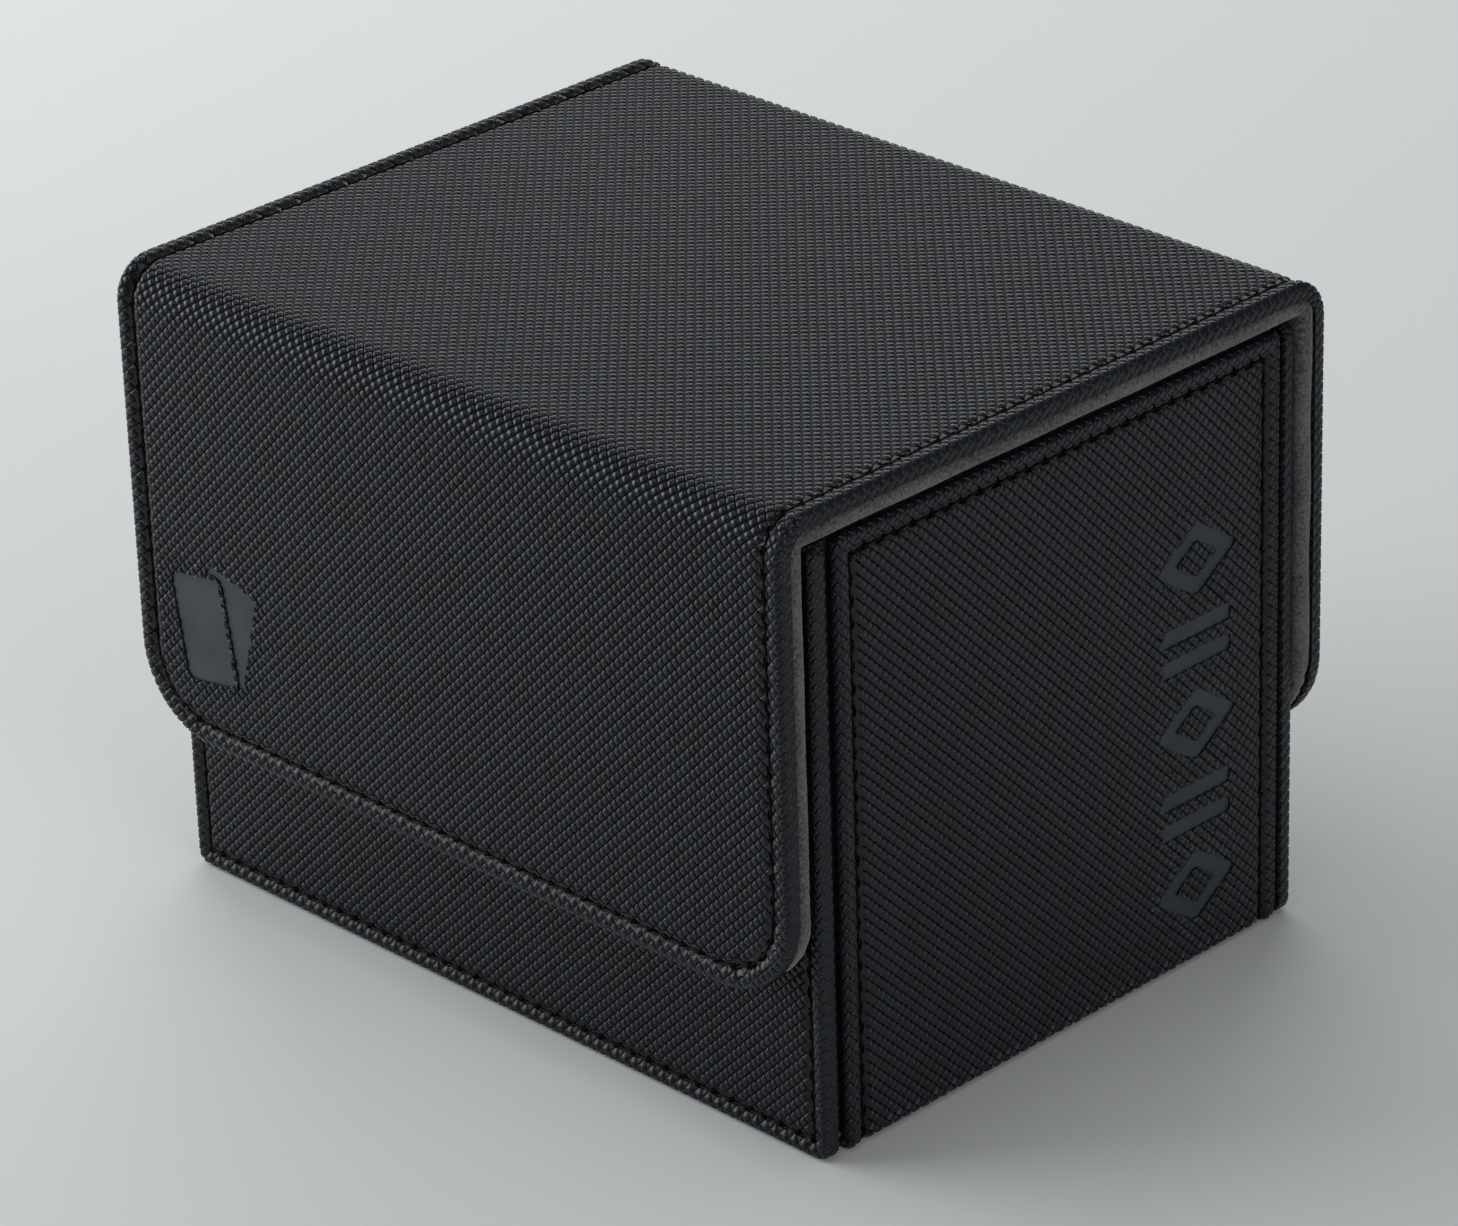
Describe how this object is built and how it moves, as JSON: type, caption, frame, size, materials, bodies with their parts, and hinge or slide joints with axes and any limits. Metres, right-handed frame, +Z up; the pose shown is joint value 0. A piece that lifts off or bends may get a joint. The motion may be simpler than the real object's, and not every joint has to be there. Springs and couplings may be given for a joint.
{
  "type": "card deck box",
  "caption": "Leatherette box for two rows of sleeved cards, with a centre partition and a lift-off saddle cover whose lid and front flap fold open on soft creases.",
  "frame": {"origin": "on the ground, at the centre of the footprint of the whole object with the cover on", "axes": "+X to the right of the front flap, along the width; +Y towards the back; +Z up"},
  "size_m": [0.1438, 0.1186, 0.1075],
  "materials": {
    "leatherette": "charcoal black synthetic leather embossed all over with small raised diamonds, satin",
    "microfibre": "light warm grey brushed microfibre, matt and fuzzy",
    "greyboard": "plain grey bookbinder's board, matt",
    "thread": "black twisted polyester thread",
    "magnet": "nickel plated, smooth"
  },
  "bodies": {
    "box": {"back_wall_board": "greyboard", "back_wall_lining": "microfibre", "back_wall_magnets": "magnet", "back_wall_skin": "leatherette", "back_wall_stitching": "thread", "base_board": "greyboard", "base_lining": "microfibre", "base_skin": "leatherette", "front_wall_board": "greyboard", "front_wall_lining": "microfibre", "front_wall_magnets": "magnet", "front_wall_skin": "leatherette", "front_wall_stitching": "thread", "left_side_board": "greyboard", "left_side_lining": "microfibre", "left_side_skin": "leatherette", "left_side_stitching": "thread", "partition_board": "greyboard", "partition_lining": "microfibre", "right_side_board": "greyboard", "right_side_lining": "microfibre", "right_side_skin": "leatherette", "right_side_stitching": "thread"},
    "back_flap": {"back_flap_board": "greyboard", "back_flap_lining": "microfibre", "back_flap_magnets": "magnet", "back_flap_skin": "leatherette", "back_flap_stitching": "thread", "rear_crease_lining": "microfibre", "rear_crease_skin": "leatherette", "rear_crease_stitching": "thread"},
    "lid": {"front_crease_lining": "microfibre", "front_crease_skin": "leatherette", "front_crease_stitching": "thread", "lid_board": "greyboard", "lid_lining": "microfibre", "lid_skin": "leatherette", "lid_stitching": "thread"},
    "front_flap": {"front_flap_board": "greyboard", "front_flap_lining": "microfibre", "front_flap_magnets": "magnet", "front_flap_skin": "leatherette", "front_flap_stitching": "thread"}
  },
  "joints": [
    {"name": "cover_lift", "type": "slide", "parent": "box", "child": "back_flap", "axis": [0, 0, 1], "range_m": [0, 0.09]},
    {"name": "lid_fold", "type": "hinge", "parent": "back_flap", "child": "lid", "pos_m": [0, 0.05758, 0.10583], "axis": [-1, 0, 0], "range_deg": [0, 175], "deforming": ["rear_crease_skin", "rear_crease_lining", "rear_crease_stitching"]},
    {"name": "front_flap_fold", "type": "hinge", "parent": "lid", "child": "front_flap", "pos_m": [0, -0.05758, 0.10583], "axis": [-1, 0, 0], "range_deg": [0, 175], "deforming": ["front_crease_skin", "front_crease_lining", "front_crease_stitching"]}
  ]
}
